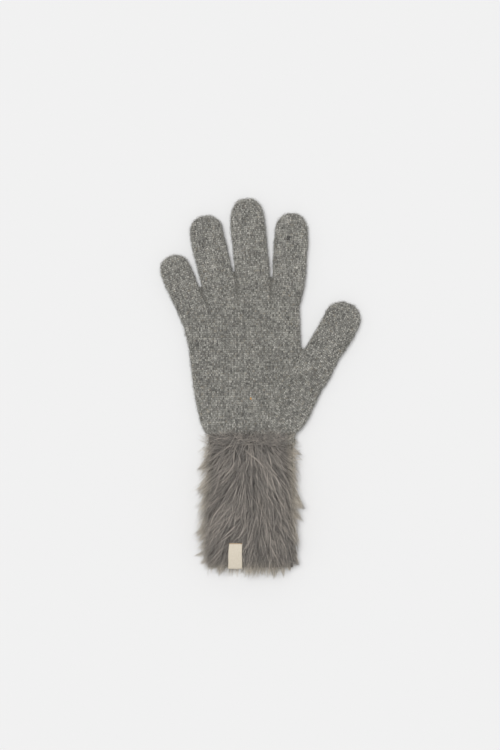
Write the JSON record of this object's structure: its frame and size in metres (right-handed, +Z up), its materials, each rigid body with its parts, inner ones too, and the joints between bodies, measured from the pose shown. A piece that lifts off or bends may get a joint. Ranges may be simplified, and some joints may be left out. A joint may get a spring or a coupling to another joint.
{
  "type": "knit glove",
  "caption": "Knitted five-finger glove lying flat, hollow and open at the wrist, with a long faux-fur cuff and a plain folded hem label.",
  "frame": {"origin": "on the surface that the glove lies on, under the middle of the palm", "axes": "+Y from the cuff towards the fingertips, +X towards the thumb, +Z up from the surface that the glove lies on"},
  "size_m": [0.1609, 0.3044, 0.0207],
  "materials": {
    "knit": "heather grey wool blend, plain knit, lightly brushed",
    "fur": "warm grey faux fur, straight pile in loose clumps with paler tips",
    "label": "undyed cotton tape, plain weave, matt, bare"
  },
  "bodies": {
    "root": {"knit_hand": "knit", "fur_cuff": "fur", "hem_label": "label"}
  },
  "joints": []
}
